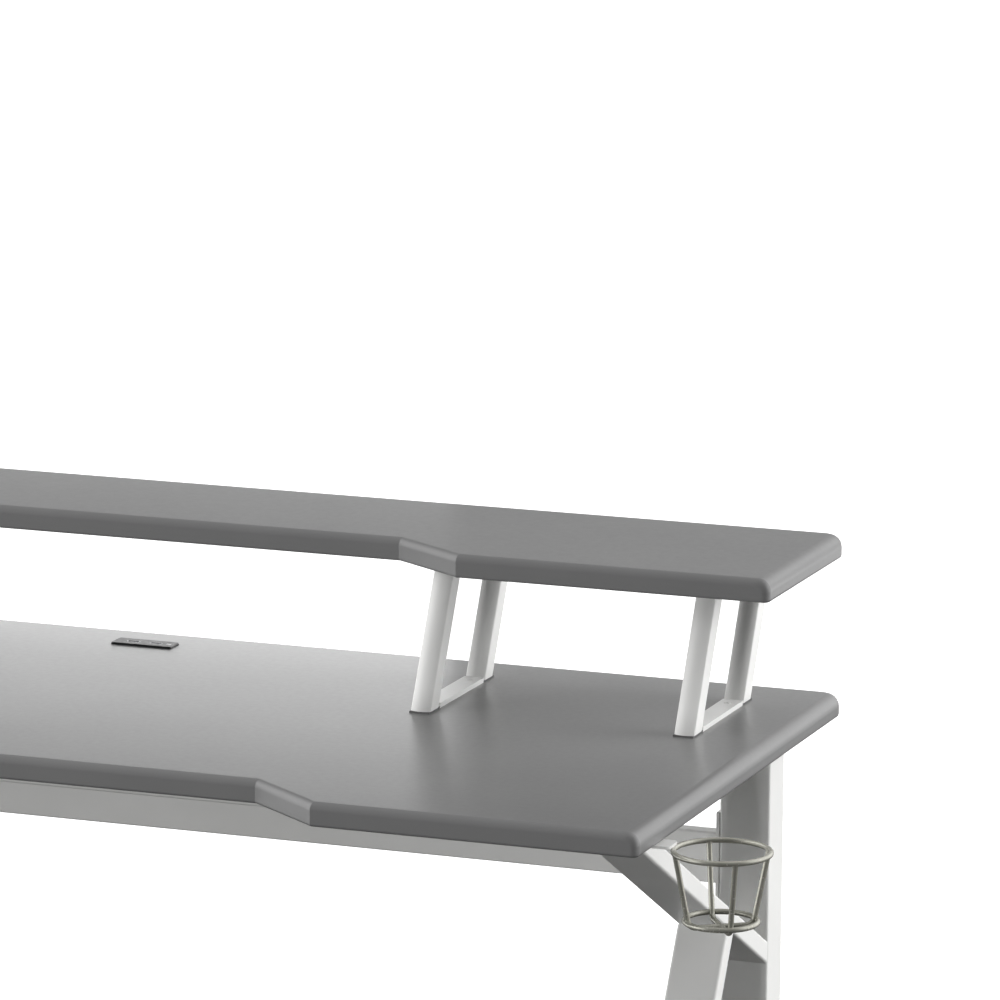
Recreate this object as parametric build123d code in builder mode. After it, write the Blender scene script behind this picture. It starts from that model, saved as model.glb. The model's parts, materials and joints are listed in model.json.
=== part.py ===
from build123d import *
import os
from math import cos, radians, sin, tan

# Two-tier computer desk: a stepped-front desk board on K-shaped tube legs, with a
# full-length monitor shelf on four leaning riser frames, a wire cup holder at the
# front right corner and a small charging socket let into the back of the board.
# Millimetres. +X right and +Y back as the seated person sees them, +Z up, floor at Z = 0.

# ---------------------------------------------------------------- driving dimensions
board_w = 1400.0            # length of both boards
board_t = 22.0              # thickness of both boards
desk_d = 600.0              # depth of the desk board at its wings
desk_recess = 60.0          # how far its middle front steps back
shelf_d = 240.0             # depth of the shelf at its wings
shelf_recess = 53.0
facet_inner_x = 318.0       # where the slanting step starts and ends, from the middle
facet_outer_x = 395.0
surface_z = 750.0           # working surface above the floor
shelf_gap = 132.0           # clear height between desk and shelf
edge_front_r = 7.0          # upper edge along the front
edge_side_r = 12.0          # upper edge at the ends and the back
edge_low_r = 3.0
back_corner_r = 18.0

clearance = 0.1             # round a screw or a bolt in its hole
screw_r = 2.0               # 4 mm wood screws
screw_head_r = 4.0
screw_head_t = 2.0
screw_bite = 13.0           # how far they go into a board
pilot_spare = 1.0           # how much deeper their pilot holes go
bolt_r = 3.0                # M6 machine bolts
bolt_head_r = 5.5
bolt_head_t = 3.0
insert_r = 5.0              # threaded inserts in the desk board
insert_l = 13.0
insert_spare = 1.0          # left free beyond the bolt's end

tube_wall = 1.5
tube_corner_r = 3.0
wall_drill_l = 6.0          # drill travel that opens one wall of a tube and no more
end_cut_l = 150.0           # extra length on a leg tube that its end cuts take away
cap_lip_t = 2.0             # plastic caps in the open ends of leg tubes
cap_plug_l = 10.0
cap_slack = 0.15

riser_x = (-619.5, -359.5, 359.5, 619.5)
riser_w = 20.0              # along X
riser_depth = 25.0          # across the leaning leg
riser_lean = 26.0           # degrees back from upright
riser_front_y = 60.0        # front faces of the two legs where they stand
riser_rear_y = 205.0
riser_cut_l = 40.0          # extra height at each end of a leg, taken away by its level cuts
riser_cap_t = 1.5           # sole of the plastic cap under a leg
riser_plug_h = 8.0
riser_plug_gap = 1.0        # between the cap's plug and the tube
strip_t = 4.5               # flat strips that join the two legs
strip_screw_step = 45.0     # screws before and behind the middle of a strip

leg_outer_x = 650.0
leg_w = 50.0                # all leg tubes, along X
flat_tube_t = 20.0          # head bar, brace and strut
post_d = 45.0
post_front_y = 230.0
brace_l = 750.0             # before its ends are cut
brace_drop = 28.04          # degrees below level
brace_low_y = -137.0        # a point on the brace's lower face
brace_low_z = surface_z - 60.0
strut_l = 900.0             # before its ends are cut
strut_lean = 30.0           # degrees from upright
strut_front_y = 88.5        # a point on the strut's front face
strut_front_z = surface_z - 225.0
head_bar_y = (-200.0, 275.0)
head_bolt_y = (-90.0, 55.0, 210.0)
foot_bar_y = (-240.0, 290.0)
foot_bar_h = 25.0
foot_bar_z = 12.0

rail_h = 50.0               # back rail
rail_t = 20.0
rail_low_z = surface_z - 182.0
rail_bolt_step = 37.0       # bolts above and below the rail
rail_plate_h = 90.0
stretcher_d = 40.0
stretcher_y = (-155.0, 190.0)
stretcher_screw_x = (-380.0, 0.0, 380.0)
stretcher_bolt_step = 27.0  # bolts before and behind a stretcher
stretcher_plate_w = 68.0
plate_t = 3.0               # end plates of the rail and the stretchers
plate_corner_r = 2.0
rail_bolt_l = 16.0
rivet_nut_r = 5.0
rivet_nut_l = 10.0

foot_y = (-210.0, 255.0)
pad_r = 18.0
pad_t = 7.0
pad_chamfer = 2.0
stud_r = 3.95               # M8, runs in a 4.0 nut
stud_l = 20.0               # reach of the stud inside the foot bar
stud_hole_r = 4.55
collar_r = 8.0
stop_gap = 0.5              # between the collar and the foot bar when screwed right in
foot_nut_bore_r = 4.0
foot_nut_r = 8.0
foot_nut_l = 9.0

wire_r = 2.5
cup_x = 754.0               # cup ring centre from the middle of the desk
cup_y = -230.0
cup_ring_r = 42.5           # to the middle of the wire
cup_low_r = 29.0
cup_tie_r = 32.0            # smaller ring round the foot of the basket
cup_tie_up = 5.0            # above the wires that cross under the cup
cup_depth = 67.0
cup_turn = 34.0             # degrees that the crossed wires are turned from the axes
cup_bend_r = 8.0
bracket_t = 2.5
bracket_w = 26.0
bracket_y = cup_y - 7.0
bracket_x = (640.0, 712.0)  # its two ends
bracket_corner_r = 5.0
bracket_screw_x = (655.0, 677.0)
bracket_screw_step = 6.5

socket_w = 64.0
socket_d = 24.0
socket_x = 2.5              # its centre, from the middle of the desk
socket_y = 240.0
bezel_t = 2.0
bezel_corner_r = 3.0
bezel_chamfer = 1.0
port_w = 12.4
port_h = 5.0
port_x = (-12.0, 12.0)      # from the socket's centre
port_depth = 14.0
shell_t = 0.4               # sheet metal round a port
tongue_w = 10.8
tongue_t = 1.8
lens_x = 25.5               # charge light, from the socket's centre
lens_w = 5.0
lens_d = 3.4
housing_w = 55.5
housing_d = 18.5
housing_h = 18.0
housing_corner_r = 1.0
housing_gap = 0.25          # all round, in the board's cut-out

# The frame's origin is midway along the whole object, cup ring included.
mid_x = -(cup_x + cup_ring_r + wire_r - board_w / 2) / 2
under_z = surface_z - board_t
shelf_z = surface_z + shelf_gap
back_y = desk_d / 2
head_low_z = under_z - flat_tube_t

up_from_low = (Align.CENTER, Align.CENTER, Align.MIN)
down_from_top = (Align.CENTER, Align.CENTER, Align.MAX)
up = (0, 0, 1)
down = (0, 0, -1)

os.makedirs("parts", exist_ok=True)


def save(part, label):
    part.label = label
    export_step(part, f"parts/{label}.step")


# ---------------------------------------------------------------- boards
def stepped_outline(depth, recess):
    """Closed outline with a slanting step on each side of a set-back middle front."""
    front = back_y - depth
    half = board_w / 2
    corners = [
        (-half, back_y),
        (-half, front),
        (-facet_outer_x, front),
        (-facet_inner_x, front + recess),
        (facet_inner_x, front + recess),
        (facet_outer_x, front),
        (half, front),
        (half, back_y),
    ]
    return [(mid_x + x, y) for x, y in corners]


def board(depth, recess, low_z, pilots):
    """A soft-edged board with blind pilot holes in its underside."""
    with BuildPart() as slab:
        with BuildSketch(Plane.XY.offset(low_z)) as plan:
            with BuildLine():
                Polyline(*stepped_outline(depth, recess), close=True)
            make_face()
            fillet(plan.vertices().group_by(Axis.Y)[-1], radius=back_corner_r)
        extrude(amount=board_t)
        front_limit = back_y - depth + recess + 1
        top_edges = slab.faces().sort_by(Axis.Z)[-1].edges()
        fillet(top_edges.filter_by(lambda edge: edge.center().Y > front_limit), radius=edge_side_r)
        top_edges = slab.faces().sort_by(Axis.Z)[-1].edges()
        fillet(top_edges.filter_by(lambda edge: edge.center().Y < front_limit), radius=edge_front_r)
        fillet(slab.faces().sort_by(Axis.Z)[0].edges(), radius=edge_low_r)
        with Locations(*[(x, y, low_z) for x, y in pilots]):
            Cylinder(screw_r + clearance, screw_bite + pilot_spare, align=up_from_low,
                     mode=Mode.SUBTRACT)
    return slab


# ---------------------------------------------------------------- screws and pins
def round_set(label, direction, points, steps):
    """Identical turned pieces, one at each point: steps are (radius, length) from the head on."""
    with BuildPart() as pieces:
        for point in points:
            start = Plane(origin=point, z_dir=direction)
            for radius, length in steps:
                with BuildSketch(start):
                    Circle(radius)
                extrude(amount=length)
                start = start.offset(length)
    save(pieces.part, label)


def ring_set(label, direction, points, outer_r, inner_r, length):
    """Identical plain sleeves, one at each point."""
    with BuildPart() as pieces:
        for point in points:
            with BuildSketch(Plane(origin=point, z_dir=direction)):
                Circle(outer_r)
                Circle(inner_r, mode=Mode.SUBTRACT)
            extrude(amount=length)
    save(pieces.part, label)


# ---------------------------------------------------------------- tubes
def tube(start, direction, length, depth, width, cuts=()):
    """A hollow rounded tube. Each cut plane keeps the side that its normal points to."""
    with BuildPart() as body:
        with BuildSketch(Plane(origin=start, x_dir=(1, 0, 0), z_dir=direction)):
            RectangleRounded(width, depth, tube_corner_r)
            RectangleRounded(width - 2 * tube_wall, depth - 2 * tube_wall,
                             tube_corner_r - tube_wall, mode=Mode.SUBTRACT)
        extrude(amount=length)
        for plane in cuts:
            split(bisect_by=plane, keep=Keep.TOP)
    return body


def cross_tube(y_centre, z_centre, depth, height):
    """A tube along X between the two legs' end plates."""
    half = leg_outer_x - leg_w - plate_t
    with BuildPart() as body:
        with BuildSketch(Plane(origin=(mid_x - half, y_centre, z_centre), x_dir=(0, 1, 0),
                               z_dir=(1, 0, 0))):
            RectangleRounded(depth, height, tube_corner_r)
            RectangleRounded(depth - 2 * tube_wall, height - 2 * tube_wall,
                             tube_corner_r - tube_wall, mode=Mode.SUBTRACT)
        extrude(amount=2 * half)
    return body


def above(z):
    return Plane(origin=(0, 0, z), z_dir=up)


def below(z):
    return Plane(origin=(0, 0, z), z_dir=down)


# ---------------------------------------------------------------- where the fasteners go
strip_mid_y = (riser_front_y + riser_rear_y + riser_depth / cos(radians(riser_lean))) / 2
strip_rise_y = shelf_gap * tan(radians(riser_lean))
riser_base_points = [(mid_x + x, strip_mid_y + s) for x in riser_x
                     for s in (-strip_screw_step, strip_screw_step)]
riser_top_points = [(x, y + strip_rise_y) for x, y in riser_base_points]

leg_mid_x = leg_outer_x - leg_w / 2
head_points = [(mid_x + side * leg_mid_x, y) for side in (-1, 1) for y in head_bolt_y]
stretcher_points = [(mid_x + x, y) for y in stretcher_y for x in stretcher_screw_x]

bracket_points = [(mid_x + bracket_screw_x[0], bracket_y - bracket_screw_step),
                  (mid_x + bracket_screw_x[0], bracket_y + bracket_screw_step),
                  (mid_x + bracket_screw_x[1], bracket_y)]

# ---------------------------------------------------------------- desk board
desk_top = board(desk_d, desk_recess, under_z, stretcher_points + bracket_points)
with desk_top:
    with Locations(*[(x, y, under_z) for x, y in head_points]):
        Cylinder(insert_r + clearance, insert_l, align=up_from_low, mode=Mode.SUBTRACT)
    with Locations(*[(x, y, surface_z) for x, y in riser_base_points]):
        Cylinder(screw_r + clearance, screw_bite + pilot_spare, align=down_from_top,
                 mode=Mode.SUBTRACT)
    with Locations((mid_x + socket_x, socket_y, under_z)):
        Box(housing_w + 2 * housing_gap, housing_d + 2 * housing_gap, board_t,
            align=up_from_low, mode=Mode.SUBTRACT)
save(desk_top.part, "desk_top")

# ---------------------------------------------------------------- monitor shelf
monitor_shelf = board(shelf_d, shelf_recess, shelf_z, riser_top_points)
save(monitor_shelf.part, "monitor_shelf")

# ---------------------------------------------------------------- riser frames
lean = radians(riser_lean)
lean_dir = (0, sin(lean), cos(lean))
leg_run_y = riser_depth / cos(lean)       # the leg's depth where it is cut level


def riser_leg(x, front_y, label):
    """One leaning leg, cut level at both ends."""
    mid_y = front_y + leg_run_y / 2
    start = (mid_x + x, mid_y - riser_cut_l * tan(lean), surface_z - riser_cut_l)
    leg = tube(start, lean_dir, (shelf_gap + 2 * riser_cut_l) / cos(lean), riser_depth, riser_w,
               (above(surface_z + riser_cap_t), below(shelf_z)))
    save(leg.part, label)


def riser_strip(x, low_z, points, label, head_low_z=None):
    """A flat strip between the two legs, its ends cut to the legs' lean.

    Screw heads that are to lie flush in it are sunk from the height head_low_z up.
    """
    y_shift = (low_z - surface_z) * tan(lean)
    y0 = riser_front_y + leg_run_y + y_shift
    y1 = riser_rear_y + y_shift
    slant = strip_t * tan(lean)
    with BuildPart() as strip:
        with BuildSketch(Plane.YZ.offset(mid_x + x - riser_w / 2)):
            with BuildLine():
                Polyline((y0, low_z), (y1, low_z), (y1 + slant, low_z + strip_t),
                         (y0 + slant, low_z + strip_t), close=True)
            make_face()
        extrude(amount=riser_w)
        with Locations(*[(px, py, low_z) for px, py in points]):
            Cylinder(screw_r + clearance, strip_t, align=up_from_low, mode=Mode.SUBTRACT)
        if head_low_z is not None:
            with Locations(*[(px, py, head_low_z) for px, py in points]):
                Cylinder(screw_head_r + clearance, strip_t, align=up_from_low,
                         mode=Mode.SUBTRACT)
    save(strip.part, label)


for number, x in enumerate(riser_x, start=1):
    here = slice(2 * number - 2, 2 * number)
    riser_leg(x, riser_front_y, f"riser_{number}_front_leg")
    riser_leg(x, riser_rear_y, f"riser_{number}_rear_leg")
    riser_strip(x, surface_z, riser_base_points[here], f"riser_{number}_base_strip",
                surface_z + strip_t - screw_head_t)
    riser_strip(x, shelf_z - strip_t, riser_top_points[here], f"riser_{number}_top_strip")

# Plastic caps under the legs: a thin sole and a plug that fills the tube's mouth.
sole_top_z = surface_z + riser_cap_t
sole_run = riser_cap_t * tan(lean)
plug_in = tube_wall + riser_plug_gap
plug_half = leg_run_y / 2 - plug_in / cos(lean)
plug_slant = riser_plug_h * tan(lean)
with BuildPart() as riser_foot_caps:
    for x in riser_x:
        for front_y in (riser_front_y, riser_rear_y):
            rear_y = front_y + leg_run_y
            with BuildSketch(Plane.YZ.offset(mid_x + x - riser_w / 2)):
                with BuildLine():
                    Polyline((front_y, surface_z), (rear_y, surface_z),
                             (rear_y + sole_run, sole_top_z), (front_y + sole_run, sole_top_z),
                             close=True)
                make_face()
            extrude(amount=riser_w)
            plug_y = front_y + sole_run + leg_run_y / 2
            with BuildSketch(Plane.YZ.offset(mid_x + x - riser_w / 2 + plug_in)):
                with BuildLine():
                    Polyline((plug_y - plug_half, sole_top_z), (plug_y + plug_half, sole_top_z),
                             (plug_y + plug_half + plug_slant, sole_top_z + riser_plug_h),
                             (plug_y - plug_half + plug_slant, sole_top_z + riser_plug_h),
                             close=True)
                make_face()
            extrude(amount=riser_w - 2 * plug_in)
save(riser_foot_caps.part, "riser_foot_caps")

round_set("riser_base_screws", down,
          [(x, y, surface_z + strip_t) for x, y in riser_base_points],
          [(screw_head_r, screw_head_t), (screw_r, strip_t - screw_head_t + screw_bite)])
round_set("riser_shelf_screws", up,
          [(x, y, shelf_z - strip_t - screw_head_t) for x, y in riser_top_points],
          [(screw_head_r, screw_head_t), (screw_r, strip_t + screw_bite)])

# ---------------------------------------------------------------- K-shaped legs
drop = radians(brace_drop)
brace_dir = Vector(0, cos(drop), -sin(drop))
brace_up = Vector(0, sin(drop), cos(drop))
brace_on_low = Vector(0, brace_low_y, brace_low_z)
strut = radians(strut_lean)
strut_dir = Vector(0, -sin(strut), -cos(strut))
strut_back = Vector(0, cos(strut), -sin(strut))
strut_on_front = Vector(0, strut_front_y, strut_front_z)
post_mid_y = post_front_y + post_d / 2
foot_top_z = foot_bar_z + foot_bar_h

brace_under = Plane(origin=brace_on_low, z_dir=-brace_up)
post_face = Plane(origin=(0, post_front_y, 0), z_dir=(0, -1, 0))
bolt_hole = bolt_r + clearance
rail_mid_z = rail_low_z + rail_h / 2

for side, name in ((-1, "left"), (1, "right")):
    at_x = Vector(mid_x + side * leg_mid_x, 0, 0)
    inner_x = mid_x + side * (leg_outer_x - leg_w)

    head = tube(at_x + Vector(0, head_bar_y[0], under_z - flat_tube_t / 2), (0, 1, 0),
                head_bar_y[1] - head_bar_y[0], flat_tube_t, leg_w)
    with head:
        with Locations(*[(at_x.X, y, head_low_z) for y in head_bolt_y]):
            Cylinder(bolt_hole, flat_tube_t, align=up_from_low, mode=Mode.SUBTRACT)
        for y in stretcher_y:
            for step in (-stretcher_bolt_step, stretcher_bolt_step):
                with Locations((inner_x + side * tube_wall, y + step, under_z - flat_tube_t / 2)):
                    Cylinder(bolt_hole, wall_drill_l, rotation=(0, 90, 0), mode=Mode.SUBTRACT)
    save(head.part, f"{name}_head_bar")

    post = tube(at_x + Vector(0, post_mid_y, foot_top_z), (0, 0, 1), head_low_z - foot_top_z,
                post_d, leg_w)
    with post:
        for step in (-rail_bolt_step, rail_bolt_step):
            with Locations((inner_x + side * tube_wall, post_mid_y, rail_mid_z + step)):
                Cylinder(bolt_hole, wall_drill_l, rotation=(0, 90, 0), mode=Mode.SUBTRACT)
    save(post.part, f"{name}_post")

    brace_start = at_x + brace_on_low + brace_up * (flat_tube_t / 2) - brace_dir * end_cut_l
    brace = tube(brace_start, brace_dir, brace_l, flat_tube_t, leg_w,
                 (below(head_low_z), post_face))
    save(brace.part, f"{name}_brace")

    strut_start = at_x + strut_on_front + strut_back * (flat_tube_t / 2) - strut_dir * end_cut_l
    front_strut = tube(strut_start, strut_dir, strut_l, flat_tube_t, leg_w,
                       (brace_under, above(foot_top_z)))
    save(front_strut.part, f"{name}_front_strut")

    foot = tube(at_x + Vector(0, foot_bar_y[0], foot_bar_z + foot_bar_h / 2), (0, 1, 0),
                foot_bar_y[1] - foot_bar_y[0], foot_bar_h, leg_w)
    with foot:
        with Locations(*[(at_x.X, y, foot_bar_z) for y in foot_y]):
            Cylinder(stud_hole_r, tube_wall, align=up_from_low, mode=Mode.SUBTRACT)
    save(foot.part, f"{name}_foot_bar")


def end_caps(label, y_ends, z_mid, height):
    """Plastic caps that close the open ends of a Y-running leg tube on both legs."""
    plug_in = tube_wall + cap_slack
    with BuildPart() as caps:
        for side in (-1, 1):
            for y, outward in ((y_ends[0], -1), (y_ends[1], 1)):
                mouth = Plane(origin=(mid_x + side * leg_mid_x, y, z_mid), x_dir=(1, 0, 0),
                              z_dir=(0, outward, 0))
                with BuildSketch(mouth):
                    RectangleRounded(leg_w, height, tube_corner_r)
                extrude(amount=cap_lip_t)
                with BuildSketch(mouth):
                    RectangleRounded(leg_w - 2 * plug_in, height - 2 * plug_in,
                                     tube_corner_r - tube_wall)
                extrude(amount=-cap_plug_l)
    save(caps.part, label)


end_caps("foot_bar_end_caps", foot_bar_y, foot_bar_z + foot_bar_h / 2, foot_bar_h)
end_caps("head_bar_end_caps", head_bar_y, under_z - flat_tube_t / 2, flat_tube_t)

# ---------------------------------------------------------------- rails between the legs
back_rail = cross_tube(post_front_y + rail_t / 2, rail_mid_z, rail_t, rail_h)
save(back_rail.part, "back_rail")
for y, label in zip(stretcher_y, ("front_stretcher", "rear_stretcher")):
    stretcher = cross_tube(y, under_z - flat_tube_t / 2, stretcher_d, flat_tube_t)
    with stretcher:
        with Locations(*[(mid_x + x, y, head_low_z) for x in stretcher_screw_x]):
            Cylinder(screw_r + clearance, flat_tube_t, align=up_from_low,
                     mode=Mode.SUBTRACT)
    save(stretcher.part, label)

# Each joint between a rail and a leg: plate centre, plate size across, and its two bolts.
rail_joints = [((post_mid_y, rail_mid_z), (post_d, rail_plate_h), (0, rail_bolt_step))]
rail_joints += [((y, under_z - flat_tube_t / 2), (stretcher_plate_w, flat_tube_t),
                 (stretcher_bolt_step, 0)) for y in stretcher_y]

rail_bolt_places = [(side, y + sign * dy, z + sign * dz) for side in (-1, 1)
                    for (y, z), _, (dy, dz) in rail_joints for sign in (-1, 1)]

with BuildPart() as rail_end_plates:
    for side in (-1, 1):
        leg_face_x = mid_x + side * (leg_outer_x - leg_w)
        for (y, z), (wide, high), (dy, dz) in rail_joints:
            with BuildSketch(Plane(origin=(leg_face_x, y, z), x_dir=(0, 1, 0),
                                   z_dir=(-side, 0, 0))):
                RectangleRounded(wide, high, plate_corner_r)
                with Locations((dy, dz), (-dy, -dz)):
                    Circle(bolt_hole, mode=Mode.SUBTRACT)
            extrude(amount=plate_t)
save(rail_end_plates.part, "rail_end_plates")

with BuildPart() as rail_bolts:
    for side, y, z in rail_bolt_places:
        seat = Plane(origin=(mid_x + side * (leg_outer_x - leg_w - plate_t), y, z),
                     z_dir=(side, 0, 0))
        with BuildSketch(seat):
            Circle(bolt_head_r)
        extrude(amount=-bolt_head_t)
        with BuildSketch(seat):
            Circle(bolt_r)
        extrude(amount=rail_bolt_l)
save(rail_bolts.part, "rail_bolts")

with BuildPart() as rivet_nuts:
    for side, y, z in rail_bolt_places:
        seat = Plane(origin=(mid_x + side * (leg_outer_x - leg_w + tube_wall), y, z),
                     z_dir=(side, 0, 0))
        with BuildSketch(seat):
            Circle(rivet_nut_r)
            Circle(bolt_hole, mode=Mode.SUBTRACT)
        extrude(amount=rivet_nut_l)
save(rivet_nuts.part, "rivet_nuts")

round_set("head_bar_bolts", up, [(x, y, head_low_z - bolt_head_t) for x, y in head_points],
          [(bolt_head_r, bolt_head_t), (bolt_r, flat_tube_t + insert_l - insert_spare)])
ring_set("board_inserts", up, [(x, y, under_z) for x, y in head_points],
         insert_r, bolt_hole, insert_l)
round_set("stretcher_screws", up,
          [(x, y, head_low_z - screw_head_t) for x, y in stretcher_points],
          [(screw_head_r, screw_head_t), (screw_r, flat_tube_t + screw_bite)])

# ---------------------------------------------------------------- levelling feet
collar_t = foot_bar_z - stop_gap - pad_t

for side, side_name in ((-1, "left"), (1, "right")):
    for y, end_name in zip(foot_y, ("front", "rear")):
        x = mid_x + side * leg_mid_x
        with BuildPart() as pad:
            with BuildSketch():
                with Locations((x, y)):
                    Circle(pad_r)
            extrude(amount=pad_t)
            chamfer(pad.faces().sort_by(Axis.Z)[-1].edges(), length=pad_chamfer)
            with BuildSketch(Plane.XY.offset(pad_t)):
                with Locations((x, y)):
                    Circle(stud_r + clearance)
            extrude(amount=-pad_t / 2, mode=Mode.SUBTRACT)
        save(pad.part, f"foot_pad_{end_name}_{side_name}")
        with BuildPart() as stud:
            with BuildSketch(Plane.XY.offset(pad_t / 2)):
                with Locations((x, y)):
                    Circle(stud_r)
            extrude(amount=pad_t / 2 + collar_t + stop_gap + tube_wall + stud_l)
            with BuildSketch(Plane.XY.offset(pad_t)):
                with Locations((x, y)):
                    RegularPolygon(collar_r, 6)
            extrude(amount=collar_t)
        save(stud.part, f"foot_stud_{end_name}_{side_name}")

ring_set("foot_nuts", up,
         [(mid_x + side * leg_mid_x, y, foot_bar_z + tube_wall) for side in (-1, 1) for y in foot_y],
         foot_nut_r, foot_nut_bore_r, foot_nut_l)

# ---------------------------------------------------------------- cup holder
ring_z = under_z - bracket_t - wire_r
basket_z = ring_z - cup_depth
ring_centre = Vector(mid_x + cup_x, cup_y, ring_z)

with BuildPart() as cup_ring:
    with Locations(ring_centre):
        Torus(cup_ring_r, wire_r)
save(cup_ring.part, "cup_ring")

# Two bent wires cross under the cup and are welded into the ring; a smaller ring ties them.
with BuildPart() as cup_basket:
    for angle in (radians(cup_turn), radians(cup_turn + 90)):
        across = Plane(origin=ring_centre, x_dir=(cos(angle), sin(angle), 0),
                       z_dir=(sin(angle), -cos(angle), 0))
        with BuildLine(across) as path:
            FilletPolyline((-cup_ring_r, 0), (-cup_low_r, -cup_depth), (cup_low_r, -cup_depth),
                           (cup_ring_r, 0), radius=cup_bend_r)
        with BuildSketch(Plane(origin=path.line @ 0, z_dir=path.line % 0)):
            Circle(wire_r)
        sweep(path=path.line)
    with Locations((ring_centre.X, ring_centre.Y, basket_z + cup_tie_up)):
        Torus(cup_tie_r, wire_r)
save(cup_basket.part, "cup_basket")

with BuildPart() as cup_bracket:
    with BuildSketch(Plane.XY.offset(under_z - bracket_t)) as tab:
        with Locations((mid_x + sum(bracket_x) / 2, bracket_y)):
            Rectangle(bracket_x[1] - bracket_x[0], bracket_w)
        fillet(tab.vertices(), radius=bracket_corner_r)
        with Locations(*bracket_points):
            Circle(screw_r + clearance, mode=Mode.SUBTRACT)
    extrude(amount=bracket_t)
save(cup_bracket.part, "cup_bracket")
round_set("cup_bracket_screws", up,
          [(x, y, under_z - bracket_t - screw_head_t) for x, y in bracket_points],
          [(screw_head_r, screw_head_t), (screw_r, bracket_t + screw_bite)])

# ---------------------------------------------------------------- charging socket
port_points = [(mid_x + socket_x + x, socket_y) for x in port_x]
lens_point = (mid_x + socket_x + lens_x, socket_y)

with BuildPart() as socket_bezel:
    with BuildSketch(Plane.XY.offset(surface_z)):
        with Locations((mid_x + socket_x, socket_y)):
            RectangleRounded(socket_w, socket_d, bezel_corner_r)
        with Locations(*port_points):
            Rectangle(port_w, port_h, mode=Mode.SUBTRACT)
        with Locations(lens_point):
            Rectangle(lens_w, lens_d, mode=Mode.SUBTRACT)
    extrude(amount=bezel_t)
    chamfer(socket_bezel.faces().sort_by(Axis.Z)[-1].outer_wire().edges(), length=bezel_chamfer)
save(socket_bezel.part, "socket_bezel")

with BuildPart() as socket_housing:
    with BuildSketch(Plane.XY.offset(surface_z)):
        with Locations((mid_x + socket_x, socket_y)):
            RectangleRounded(housing_w, housing_d, housing_corner_r)
    extrude(amount=-housing_h)
    with BuildSketch(Plane.XY.offset(surface_z)):
        with Locations(*port_points):
            Rectangle(port_w, port_h)
    extrude(amount=-port_depth, mode=Mode.SUBTRACT)
save(socket_housing.part, "socket_housing")

with BuildPart() as usb_shells:
    with BuildSketch(Plane.XY.offset(surface_z - port_depth)):
        with Locations(*port_points):
            Rectangle(port_w, port_h)
            Rectangle(port_w - 2 * shell_t, port_h - 2 * shell_t, mode=Mode.SUBTRACT)
    extrude(amount=port_depth + bezel_t)
save(usb_shells.part, "usb_shells")

tongue_y = socket_y + port_h / 4 - shell_t / 2
with BuildPart() as usb_tongues:
    with BuildSketch(Plane.XY.offset(surface_z - port_depth)):
        with Locations(*[(x, tongue_y) for x, _ in port_points]):
            Rectangle(tongue_w, tongue_t)
    extrude(amount=port_depth)
save(usb_tongues.part, "usb_tongues")

with BuildPart() as charge_light:
    with BuildSketch(Plane.XY.offset(surface_z)):
        with Locations(lens_point):
            Rectangle(lens_w, lens_d)
    extrude(amount=bezel_t)
save(charge_light.part, "charge_light")
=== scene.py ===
"""Two-tier desk: studio, camera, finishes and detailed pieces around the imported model."""
import json
import math

import bmesh
import bpy
from mathutils import Matrix, Vector

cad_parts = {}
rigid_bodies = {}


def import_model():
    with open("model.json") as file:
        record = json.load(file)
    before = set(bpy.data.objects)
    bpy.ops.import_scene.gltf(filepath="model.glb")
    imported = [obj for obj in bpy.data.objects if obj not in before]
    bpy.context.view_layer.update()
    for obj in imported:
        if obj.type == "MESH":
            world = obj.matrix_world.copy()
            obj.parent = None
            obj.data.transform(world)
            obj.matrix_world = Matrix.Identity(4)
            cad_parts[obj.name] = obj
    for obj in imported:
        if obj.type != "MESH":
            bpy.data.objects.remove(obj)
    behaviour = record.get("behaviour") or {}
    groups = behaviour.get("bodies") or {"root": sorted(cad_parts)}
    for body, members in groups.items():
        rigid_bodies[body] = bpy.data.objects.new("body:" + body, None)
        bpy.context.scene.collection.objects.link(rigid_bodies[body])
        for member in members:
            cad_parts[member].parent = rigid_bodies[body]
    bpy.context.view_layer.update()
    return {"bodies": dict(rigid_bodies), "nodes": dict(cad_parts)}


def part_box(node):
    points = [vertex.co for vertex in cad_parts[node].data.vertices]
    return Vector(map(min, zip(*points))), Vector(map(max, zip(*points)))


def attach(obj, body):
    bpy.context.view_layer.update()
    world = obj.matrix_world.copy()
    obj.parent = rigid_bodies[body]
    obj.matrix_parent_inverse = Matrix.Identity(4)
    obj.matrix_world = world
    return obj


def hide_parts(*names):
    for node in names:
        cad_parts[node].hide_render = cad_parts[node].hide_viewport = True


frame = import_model()
scene = bpy.context.scene
scene.view_settings.view_transform = "Standard"
scene.view_settings.look = "None"


# ---------------------------------------------------------------- camera
CAMERA_PLACE = Vector((2.35505, -5.26915, 2.07354))
CAMERA_YAW = math.radians(20.25)       # to the left of straight ahead
CAMERA_DIP = math.radians(11.10)       # below level
CAMERA_ROLL = math.radians(0.41)
CAMERA_LENS = 225.73                   # mm, on a sensor 36 mm wide
SENSOR_WIDTH = 36


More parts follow.
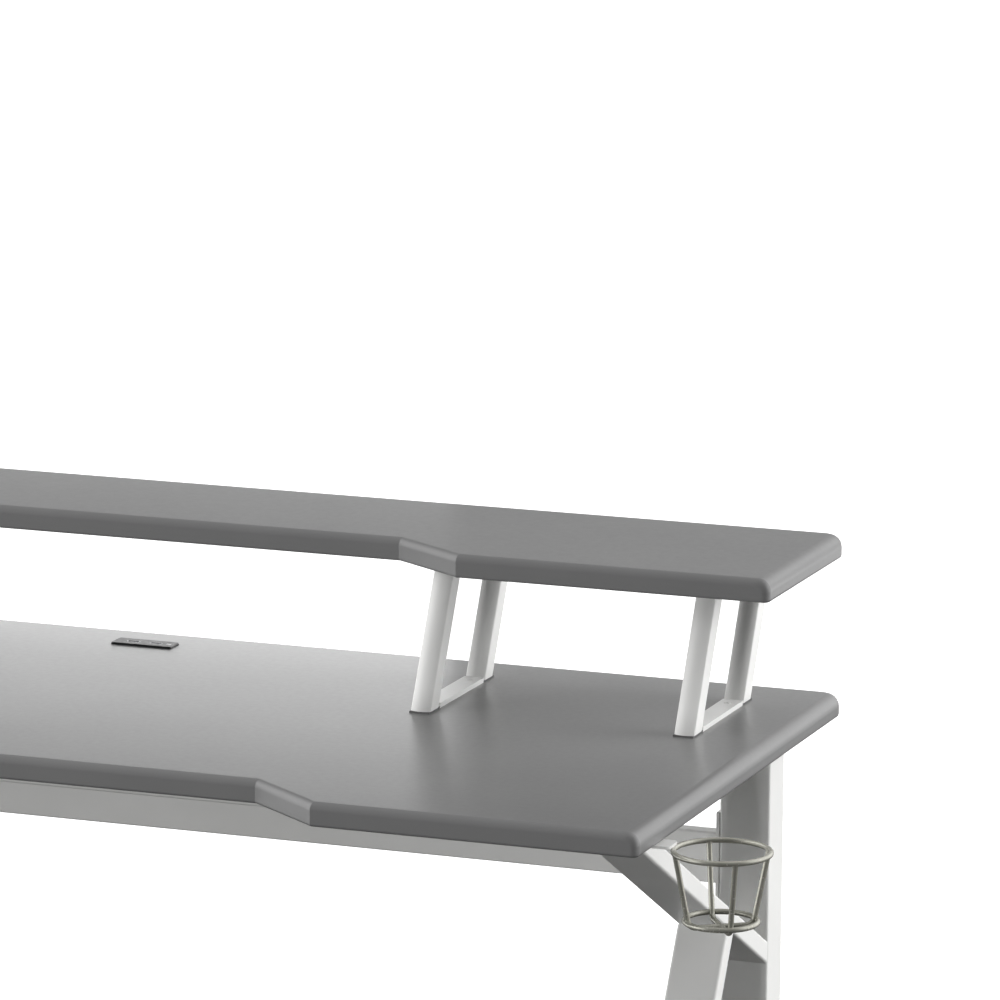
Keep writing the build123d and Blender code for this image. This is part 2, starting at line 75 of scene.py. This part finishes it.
def add_camera():
    """Looks at the desk from the front right, a little above the boards, with a long lens."""
    ahead = Vector((-math.sin(CAMERA_YAW) * math.cos(CAMERA_DIP),
                    math.cos(CAMERA_YAW) * math.cos(CAMERA_DIP),
                    -math.sin(CAMERA_DIP)))
    right = Vector((math.cos(CAMERA_YAW), math.sin(CAMERA_YAW), 0))
    up = right.cross(ahead)
    rolled_right = right * math.cos(CAMERA_ROLL) + up * math.sin(CAMERA_ROLL)
    rolled_up = up * math.cos(CAMERA_ROLL) - right * math.sin(CAMERA_ROLL)
    turn = Matrix((rolled_right, rolled_up, -ahead)).transposed().to_4x4()
    data = bpy.data.cameras.new("camera")
    data.lens = CAMERA_LENS
    data.sensor_width = SENSOR_WIDTH
    data.clip_start = 0.1
    data.clip_end = 300
    cam = bpy.data.objects.new("camera", data)
    cam.matrix_world = Matrix.Translation(CAMERA_PLACE) @ turn
    scene.collection.objects.link(cam)
    scene.camera = cam


# ---------------------------------------------------------------- node helpers
def new_material(name):
    """A material with a Principled shader, its node tree and that shader."""
    mat = bpy.data.materials.new(name)
    mat.use_nodes = True
    tree = mat.node_tree
    return mat, tree, tree.nodes["Principled BSDF"]


def noise(tree, scale, detail):
    """A noise texture fixed to the object, so that it moves with the part."""
    coord = tree.nodes.new("ShaderNodeTexCoord")
    tex = tree.nodes.new("ShaderNodeTexNoise")
    tex.inputs["Scale"].default_value = scale
    tex.inputs["Detail"].default_value = detail
    tree.links.new(coord.outputs["Object"], tex.inputs["Vector"])
    return tex.outputs["Fac"]


def ramp(tree, fac, stops):
    """A colour ramp; each stop is (position, grey or (r, g, b))."""
    node = tree.nodes.new("ShaderNodeValToRGB")
    while len(node.color_ramp.elements) < len(stops):
        node.color_ramp.elements.new(0.5)
    for element, (place, colour) in zip(node.color_ramp.elements, stops):
        element.position = place
        rgb = (colour,) * 3 if isinstance(colour, (int, float)) else colour
        element.color = (*rgb, 1)
    tree.links.new(fac, node.inputs["Fac"])
    return node.outputs["Color"]


def bump(tree, shader, height, strength, distance):
    """Small relief on the surface; distance is its height in metres."""
    node = tree.nodes.new("ShaderNodeBump")
    node.inputs["Strength"].default_value = strength
    node.inputs["Distance"].default_value = distance
    tree.links.new(height, node.inputs["Height"])
    tree.links.new(node.outputs["Normal"], shader.inputs["Normal"])


def multiplied(tree, a, b, fac):
    """Colour a, darkened by colour b as far as fac says."""
    node = tree.nodes.new("ShaderNodeMix")
    node.data_type = "RGBA"
    node.blend_type = "MULTIPLY"
    node.inputs["Factor"].default_value = fac
    tree.links.new(a, node.inputs["A"])
    tree.links.new(b, node.inputs["B"])
    return node.outputs["Result"]


def maths(tree, kind, a, b):
    """The result of one math node. Each of a and b is a socket or a number."""
    node = tree.nodes.new("ShaderNodeMath")
    node.operation = kind
    for place, value in zip(node.inputs, (a, b)):
        if isinstance(value, (int, float)):
            place.default_value = value
        else:
            tree.links.new(value, place)
    return node.outputs["Value"]


# ---------------------------------------------------------------- finishes
def laminate():
    """The boards' satin grey foil: almost even, with a fine leathery grain."""
    mat, tree, shader = new_material("satin_grey_foil")
    clouds = ramp(tree, noise(tree, 9, 3), [(0.3, (0.186, 0.186, 0.187)), (0.7, 0.200)])
    specks = ramp(tree, noise(tree, 700, 1), [(0.2, 0.95), (0.8, 1.0)])
    tree.links.new(multiplied(tree, clouds, specks, 0.6), shader.inputs["Base Color"])
    tree.links.new(ramp(tree, noise(tree, 160, 2), [(0.3, 0.30), (0.7, 0.34)]),
                   shader.inputs["Roughness"])
    bump(tree, shader, noise(tree, 700, 1), 0.05, 0.0001)
    return mat


def white_paint():
    """Powder-coated steel: off-white, with the slight orange peel of the coat."""
    mat, tree, shader = new_material("white_powder_coat")
    clouds = ramp(tree, noise(tree, 14, 2), [(0.3, (0.80, 0.80, 0.785)), (0.7, (0.84, 0.84, 0.825))])
    tree.links.new(clouds, shader.inputs["Base Color"])
    tree.links.new(ramp(tree, noise(tree, 180, 2), [(0.3, 0.30), (0.7, 0.38)]),
                   shader.inputs["Roughness"])
    bump(tree, shader, noise(tree, 420, 2), 0.10, 0.0003)
    return mat


def plastic(name, dark, light, rough, grain=1400):
    """Moulded plastic with a fine spark-eroded grain."""
    mat, tree, shader = new_material(name)
    tree.links.new(ramp(tree, noise(tree, 60, 2), [(0.3, dark), (0.7, light)]),
                   shader.inputs["Base Color"])
    tree.links.new(ramp(tree, noise(tree, 300, 2), [(0.3, rough - 0.05), (0.7, rough + 0.05)]),
                   shader.inputs["Roughness"])
    bump(tree, shader, noise(tree, grain, 2), 0.25, 0.0002)
    return mat


def metal(name, dark, light, rough):
    """Plated steel, a little uneven in tone and gloss."""
    mat, tree, shader = new_material(name)
    shader.inputs["Metallic"].default_value = 1.0
    tree.links.new(ramp(tree, noise(tree, 120, 3), [(0.3, dark), (0.7, light)]),
                   shader.inputs["Base Color"])
    tree.links.new(ramp(tree, noise(tree, 500, 3), [(0.3, rough - 0.06), (0.7, rough + 0.06)]),
                   shader.inputs["Roughness"])
    bump(tree, shader, noise(tree, 700, 2), 0.15, 0.0001)
    return mat


def wire_paint():
    """The cup holder's wire: warm grey lacquer over steel."""
    mat, tree, shader = new_material("warm_grey_wire")
    shader.inputs["Metallic"].default_value = 0.55
    clouds = ramp(tree, noise(tree, 80, 2), [(0.3, (0.46, 0.455, 0.395)), (0.7, (0.53, 0.525, 0.465))])
    tree.links.new(clouds, shader.inputs["Base Color"])
    tree.links.new(ramp(tree, noise(tree, 400, 2), [(0.3, 0.20), (0.7, 0.28)]),
                   shader.inputs["Roughness"])
    bump(tree, shader, noise(tree, 900, 2), 0.12, 0.0001)
    return mat


FINISHES = {
    "grey_laminate": laminate(),
    "white_metal": white_paint(),
    "cap_plastic": plastic("grey_cap_plastic", (0.10, 0.10, 0.10), (0.14, 0.14, 0.14), 0.5),
    "black_plastic": plastic("black_plastic", (0.012, 0.012, 0.013), (0.022, 0.022, 0.024), 0.42),
    "port_plastic": plastic("port_plastic", (0.62, 0.63, 0.64), (0.72, 0.73, 0.74), 0.45),
    "pad_rubber": plastic("pad_rubber", (0.018, 0.018, 0.018), (0.032, 0.032, 0.032), 0.75, 600),
    "wire_metal": wire_paint(),
    "steel": metal("zinc_steel", (0.50, 0.50, 0.51), (0.62, 0.62, 0.64), 0.34),
}


def dress_nodes():
    """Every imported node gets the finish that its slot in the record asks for."""
    for node in frame["nodes"].values():
        for place in node.material_slots:
            place.material = FINISHES[place.material.name]


# ---------------------------------------------------------------- mesh helpers
def islands(node):
    """(lowest, highest) corner of each separate solid in a CAD node, in order of the lowest."""
    bm = bmesh.new()
    bm.from_mesh(frame["nodes"][node].data)
    bmesh.ops.remove_doubles(bm, verts=bm.verts, dist=1e-6)
    found = []
    left = set(bm.verts)
    while left:
        group = {left.pop()}
        rim = set(group)
        while rim:
            rim = {edge.other_vert(vert) for vert in rim for edge in vert.link_edges} - group
            group |= rim
        left -= group
        found.append(tuple(Vector(pick(vert.co[axis] for vert in group) for axis in range(3))
                           for pick in (min, max)))
    bm.free()
    return sorted(found, key=lambda corners: tuple(corners[0]))


def ring(centre, u, v, radius_at, count=48):
    """Points round centre in the plane of u and v; radius_at gives the radius at an angle."""
    angles = [2 * math.pi * i / count for i in range(count)]
    return [centre + (u * math.cos(a) + v * math.sin(a)) * radius_at(a) for a in angles]


def loft(rings):
    """Vertices and faces of a closed solid through rings of equally many points."""
    count = len(rings[0])
    verts = [point for one in rings for point in one]
    faces = [(low + i, low + (i + 1) % count, low + count + (i + 1) % count, low + count + i)
             for low in range(0, count * (len(rings) - 1), count) for i in range(count)]
    faces.append(tuple(range(count)))
    faces.append(tuple(range(len(verts) - count, len(verts))))
    return verts, faces


def add_piece(name, solids, slot_name, body, *nodes):
    """One mesh piece from lofted solids. It rides on body and stands for the CAD nodes."""
    bm = bmesh.new()
    for verts, faces in solids:
        made = [bm.verts.new(co) for co in verts]
        for face in faces:
            bm.faces.new([made[i] for i in face])
    bmesh.ops.recalc_face_normals(bm, faces=bm.faces)
    mesh = bpy.data.meshes.new(name)
    bm.to_mesh(mesh)
    bm.free()
    mesh.shade_smooth()
    mesh.set_sharp_from_angle(angle=math.radians(38))
    mesh.materials.append(FINISHES[slot_name])
    piece = bpy.data.objects.new(name, mesh)
    scene.collection.objects.link(piece)
    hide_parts(*nodes)
    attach(piece, body)


# ---------------------------------------------------------------- screws and bolts
UP, DOWN = Vector((0, 0, 1)), Vector((0, 0, -1))
HEAD_PROFILE = ((0.00, 1.00), (0.40, 1.00), (0.78, 0.93), (1.00, 0.76))   # height, radius
HEX_FLAT = 0.44             # half the width of a hexagon recess, as a share of the head's radius
CROSS_REACH = 0.60          # length and half width of a cross recess's arms, likewise
CROSS_HALF_W = 0.13
RECESS_FLOOR = 0.35         # height of a recess's floor in the head
RECESS_TAPER = 0.92
BLUNT_TIP = (0.85, 0.2)     # radius and length of the tip, as shares of the shank's radius
SHARP_TIP = (0.15, 2.0)


def hex_socket(angle):
    """Edge of a six-sided recess, as a share of the head's radius."""
    return HEX_FLAT / math.cos(angle % (math.pi / 3) - math.pi / 6)


def cross_socket(angle):
    """Edge of a cross recess, as a share of the head's radius."""
    off = abs((angle + math.pi / 4) % (math.pi / 2) - math.pi / 4)
    return min(CROSS_REACH / math.cos(off), CROSS_HALF_W / max(math.sin(off), 0.05))


def screw(low, high, out, head_t, shank_r, socket, tip):
    """A screw that fills a CAD screw's box; out is the way that its head faces."""
    centre = (low + high) / 2
    size = high - low
    length = abs(size.dot(out))
    head_r = min(size) / 2
    tip_share, tip_l = tip
    u = out.orthogonal().normalized()
    v = out.cross(u)
    top = centre + out * length / 2
    seat = top - out * head_t
    end = top - out * length
    rings = [ring(end, u, v, lambda a: shank_r * tip_share),
             ring(end + out * shank_r * tip_l, u, v, lambda a: shank_r),
             ring(seat, u, v, lambda a: shank_r)]
    rings += [ring(seat + out * head_t * rise, u, v, lambda a, share=share: head_r * share)
              for rise, share in HEAD_PROFILE]
    rings += [ring(top, u, v, lambda a: head_r * socket(a)),
              ring(seat + out * head_t * RECESS_FLOOR, u, v, lambda a: head_r * socket(a) * RECESS_TAPER)]
    return loft(rings)


def add_screws():
    """All fasteners, with hexagon sockets in the bolts and cross recesses in the wood screws."""
    wood = dict(head_t=0.002, shank_r=0.002, socket=cross_socket, tip=SHARP_TIP)
    machine = dict(head_t=0.003, shank_r=0.003, socket=hex_socket, tip=BLUNT_TIP)
    for node, out, kind, slot_name in (("riser_base_screws", UP, wood, "white_metal"),
                                       ("riser_shelf_screws", DOWN, wood, "steel"),
                                       ("stretcher_screws", DOWN, wood, "steel"),
                                       ("cup_bracket_screws", DOWN, wood, "steel"),
                                       ("head_bar_bolts", DOWN, machine, "steel")):
        solids = [screw(low, high, out, **kind) for low, high in islands(node)]
        add_piece(node + "_detail", solids, slot_name, "desk", node)
    middle = sum(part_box("desk_top"), Vector()) / 2
    solids = [screw(low, high, Vector((1 if low.x < middle.x else -1, 0, 0)), **machine)
              for low, high in islands("rail_bolts")]
    add_piece("rail_bolts_detail", solids, "steel", "desk", "rail_bolts")


# ---------------------------------------------------------------- riser legs
LEG_CORNER_R = 0.0022
LEG_SWELL = math.radians(34)     # how far the front and rear walls turn from the middle to a corner
WALL_STEPS = 12
CORNER_STEPS = 10


def level_span(node, z):
    """Foremost and rearmost Y of a CAD node at height z."""
    depths = [v.co.y for v in frame["nodes"][node].data.vertices if abs(v.co.z - z) < 1e-5]
    return min(depths), max(depths)


def leg_wall(half_w):
    """Half of a leg's outline as (x, depth): from the left side, round the front wall, to the right."""
    wall_r = LEG_CORNER_R + (half_w - LEG_CORNER_R) / math.sin(LEG_SWELL)
    inner = wall_r - LEG_CORNER_R
    corner_x, corner_y = inner * math.sin(LEG_SWELL), wall_r - inner * math.cos(LEG_SWELL)
    corner_angles = [(math.pi / 2 - LEG_SWELL) * i / CORNER_STEPS for i in range(CORNER_STEPS + 1)]
    wall_angles = [LEG_SWELL * (2 * i / WALL_STEPS - 1) for i in range(1, WALL_STEPS)]
    right = [(corner_x + LEG_CORNER_R * math.cos(angle), corner_y - LEG_CORNER_R * math.sin(angle))
             for angle in corner_angles]
    front = [(wall_r * math.sin(angle), wall_r * (1 - math.cos(angle))) for angle in wall_angles]
    return [(-x, depth) for x, depth in right] + front + right[::-1]


def add_riser_legs():
    """The monitor shelf's leaning legs: drawn tube whose front and rear walls swell a little."""
    for node in sorted(frame["nodes"]):
        if not (node.startswith("riser_") and node.endswith("_leg")):
            continue
        low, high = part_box(node)
        middle_x = (low.x + high.x) / 2
        wall = leg_wall((high.x - low.x) / 2)
        rings = []
        for z in (low.z, high.z):
            front_y, rear_y = level_span(node, z)
            rings.append([Vector((middle_x + x, front_y + depth, z)) for x, depth in wall] +
                         [Vector((middle_x + x, rear_y - depth, z)) for x, depth in wall[::-1]])
        add_piece(node + "_detail", [loft(rings)], "white_metal", "desk", node)


# ---------------------------------------------------------------- end caps
CAP_CORNER_R = 0.003
CAP_LEAST_R = 0.0004
CAP_PROFILE = ((0.0120, 0.0026), (0.0110, 0.0017), (0.0020, 0.0017), (0.0020, 0.0), (0.0007, 0.0),
               (0.0002, 0.0004), (0.0, 0.0011), (0.0, 0.0030), (0.0004, 0.0034))   # depth, inset


def rounded_rect(centre, half_x, half_z, inset, per_corner=8):
    """Outline of a rounded rectangle in the XZ plane, drawn in by inset."""
    radius = max(CAP_CORNER_R - inset, CAP_LEAST_R)
    points = []
    for corner, (sx, sz) in enumerate(((1, 1), (-1, 1), (-1, -1), (1, -1))):
        mid = centre + Vector((sx * (half_x - inset - radius), 0, sz * (half_z - inset - radius)))
        for step in range(per_corner):
            angle = math.pi / 2 * (corner + step / (per_corner - 1))
            points.append(mid + Vector((math.cos(angle), 0, math.sin(angle))) * radius)
    return points


def end_cap(low, high):
    """A moulded cap with a softened rim and a sunk panel, pushed into a tube's mouth."""
    centre = (low + high) / 2
    out = 1 if centre.y > 0 else -1
    face_y = high.y if out > 0 else low.y
    half_x, half_z = (high.x - low.x) / 2, (high.z - low.z) / 2
    return loft([rounded_rect(Vector((centre.x, face_y - out * depth, centre.z)), half_x, half_z, inset)
                 for depth, inset in CAP_PROFILE])


def add_end_caps():
    """The caps on the legs' foot bars and head bars."""
    for node in ("foot_bar_end_caps", "head_bar_end_caps"):
        add_piece(node + "_detail", [end_cap(low, high) for low, high in islands(node)],
                  "cap_plastic", "desk", node)


# ---------------------------------------------------------------- levelling feet
# height and radius as shares of the pad's own, and whether there are ribs at that height
PAD_PROFILE = ((0.00, 0.94, 0), (0.07, 0.99, 0), (0.14, 1.00, 1), (0.64, 1.00, 1), (0.71, 0.985, 0),
               (1.00, 0.89, 0), (1.00, 0.62, 0), (0.94, 0.60, 0), (0.94, 0.28, 0))
PAD_RIBS = 30
RIB_DEPTH = 0.035           # of the pad's radius
THREAD_PITCH = 0.00125
THREAD_DEPTH = 0.0007
THREAD_STEPS = 8            # rings in one turn
COLLAR_PROFILE = ((0.0, 0.93), (0.12, 1.0), (0.88, 1.0), (1.0, 0.93))   # height, radius
STUD_R = 0.00395
STOP_GAP = 0.0005           # between the collar and the foot bar when screwed right in


def pad(low, high):
    """A rubber foot with grip ribs round its rim."""
    centre = (low + high) / 2
    radius = (high.x - low.x) / 2
    height = high.z - low.z
    rings = []
    for rise, share, ribs in PAD_PROFILE:
        def edge(angle, share=share, ribs=ribs):
            groove = ribs * RIB_DEPTH * (0.5 - 0.5 * math.cos(PAD_RIBS * angle))
            return radius * (share - groove)
        rings.append(ring(Vector((centre.x, centre.y, low.z + height * rise)), Vector((1, 0, 0)),
                          Vector((0, 1, 0)), edge, 120))
    return loft(rings)


def thread(low_z, high_z, centre, radius):
    """A screw thread from low_z to high_z."""
    def edge_at(z):
        def edge(angle):
            turn = ((z - low_z) / THREAD_PITCH - angle / (2 * math.pi)) % 1.0
            return radius - THREAD_DEPTH * abs(2 * turn - 1)
        return edge
    steps = int((high_z - low_z) / THREAD_PITCH * THREAD_STEPS)
    heights = [low_z + (high_z - low_z) * i / steps for i in range(steps + 1)]
    return loft([ring(Vector((centre.x, centre.y, z)), Vector((1, 0, 0)), Vector((0, 1, 0)),
                      edge_at(z), 24) for z in heights])


def collar(low_z, high_z, centre, radius):
    """The hexagon by which a foot is turned, with its corners taken off."""
    def hexagon(share):
        def edge(angle):
            flat = radius * math.cos(math.pi / 6) / math.cos(angle % (math.pi / 3) - math.pi / 6)
            return min(flat, radius * share)
        return edge
    return loft([ring(Vector((centre.x, centre.y, low_z + (high_z - low_z) * rise)), Vector((1, 0, 0)),
                      Vector((0, 1, 0)), hexagon(share)) for rise, share in COLLAR_PROFILE])


def add_feet():
    """Each levelling foot: ribbed rubber pad, hexagon collar and threaded stud."""
    bar_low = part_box("left_foot_bar")[0].z
    for body in frame["bodies"]:
        if not body.startswith("foot_"):
            continue
        place = body[len("foot_"):]
        pad_low, pad_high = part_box("foot_pad_" + place)
        stud_low, stud_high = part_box("foot_stud_" + place)
        add_piece("foot_pad_detail_" + place, [pad(pad_low, pad_high)], "pad_rubber", body,
                  "foot_pad_" + place)
        centre = (stud_low + stud_high) / 2
        solids = [thread(stud_low.z, stud_high.z, centre, STUD_R),
                  collar(pad_high.z, bar_low - STOP_GAP, centre, (stud_high.x - stud_low.x) / 2)]
        add_piece("foot_stud_detail_" + place, solids, "steel", body, "foot_stud_" + place)


# ---------------------------------------------------------------- studio
# name, place, target, width and height, watts, seen in reflections
LAMPS = (("key_right", (4.0, 2.0, 1.7), (0.0, 0.0, 0.7), (3.0, 3.0), 160, False),
         ("front_low", (0.62, -6.5, 0.70), (0.62, 0.0, 0.70), (0.7, 0.7), 120, False),
         ("left_low", (-3.6, 0.35, 0.84), (0.3, 0.15, 0.83), (1.2, 0.25), 70, False),
         ("fill_left", (-2.5, -2.0, 2.2), (0.2, 0.1, 0.8), (1.0, 1.0), 20, False),
         ("back_low", (-1.02, 0.62, 0.83), (-1.02, 0.0, 0.83), (2.3, 0.22), 3.3, True),
         ("back_right", (0.75, 0.62, 0.80), (0.75, 0.0, 0.80), (1.2, 0.12), 0.3, True),
         ("back_high", (-0.20, 1.60, 1.30), (-0.20, 0.0, 1.00), (3.8, 0.30), 2.4, True))
FLOOR_HALF = 90.0           # metres, so that it reaches past the horizon


def area_light(name, place, target, size, power, reflected):
    """A soft rectangular light that faces target. It isn't seen by the camera."""
    data = bpy.data.lights.new(name, "AREA")
    data.shape = "RECTANGLE"
    data.size, data.size_y = size
    data.energy = power
    lamp = bpy.data.objects.new(name, data)
    lamp.location = place
    lamp.rotation_mode = "QUATERNION"
    lamp.rotation_quaternion = (Vector(target) - Vector(place)).to_track_quat("-Z", "Y")
    lamp.visible_camera = False
    lamp.visible_glossy = reflected
    scene.collection.objects.link(lamp)


def add_floor():
    """A plain pale floor that doesn't light the object from below."""
    mat, tree, shader = new_material("studio_floor")
    tree.links.new(ramp(tree, noise(tree, 0.6, 2), [(0.3, 0.90), (0.7, 0.92)]),
                   shader.inputs["Base Color"])
    shader.inputs["Roughness"].default_value = 0.9
    shader.inputs["Specular IOR Level"].default_value = 0.0
    shader.inputs["Emission Color"].default_value = (1, 1, 1, 1)
    shader.inputs["Emission Strength"].default_value = 0.75
    mesh = bpy.data.meshes.new("floor")
    corners = [(x * FLOOR_HALF, y * FLOOR_HALF, 0) for x, y in ((-1, -1), (1, -1), (1, 1), (-1, 1))]
    mesh.from_pydata(corners, [], [(0, 1, 2, 3)])
    mesh.materials.append(mat)
    floor = bpy.data.objects.new("floor", mesh)
    scene.collection.objects.link(floor)
    floor.visible_diffuse = False
    floor.visible_glossy = False


def glow(tree, towards, low, high, amount):
    """Light from one side of the room: none where the cosine to it is below low, amount above high."""
    coord = tree.nodes.new("ShaderNodeTexCoord")
    along = tree.nodes.new("ShaderNodeVectorMath")
    along.operation = "DOT_PRODUCT"
    along.inputs[1].default_value = Vector(towards).normalized()
    tree.links.new(coord.outputs["Generated"], along.inputs[0])
    node = tree.nodes.new("ShaderNodeMapRange")
    node.interpolation_type = "SMOOTHSTEP"
    node.inputs["From Min"].default_value = low
    node.inputs["From Max"].default_value = high
    node.inputs["To Min"].default_value = 0.0
    node.inputs["To Max"].default_value = amount
    tree.links.new(along.outputs["Value"], node.inputs["Value"])
    return node.outputs["Result"]


def add_room():
    """A white room: bright on the left and behind right, soft above, dim in front, dark below."""
    world = bpy.data.worlds.new("studio")
    scene.world = world
    world.use_nodes = True
    tree = world.node_tree
    total = 0.05
    for part in (glow(tree, (-1, -0.15, 0.05), 0.45, 0.95, 1.90),
                 glow(tree, (0.8, 0.6, 0.15), 0.42, 0.95, 1.10),
                 glow(tree, (0, 0.3, 1), 0.30, 0.95, 0.45)):
        total = maths(tree, "ADD", part, total)
    above_floor = maths(tree, "ADD", glow(tree, (0, 0, 1), -0.35, -0.08, 0.95), 0.05)
    backdrop = tree.nodes["Background"]
    backdrop.inputs["Color"].default_value = (1, 1, 1, 1)
    tree.links.new(maths(tree, "MULTIPLY", total, above_floor), backdrop.inputs["Strength"])


def add_studio():
    """The room, a key from behind on the right, low lamps in front and on the left, panels behind."""
    add_room()
    for lamp in LAMPS:
        area_light(*lamp)


add_camera()
add_studio()
add_floor()
dress_nodes()
add_screws()
add_riser_legs()
add_end_caps()
add_feet()
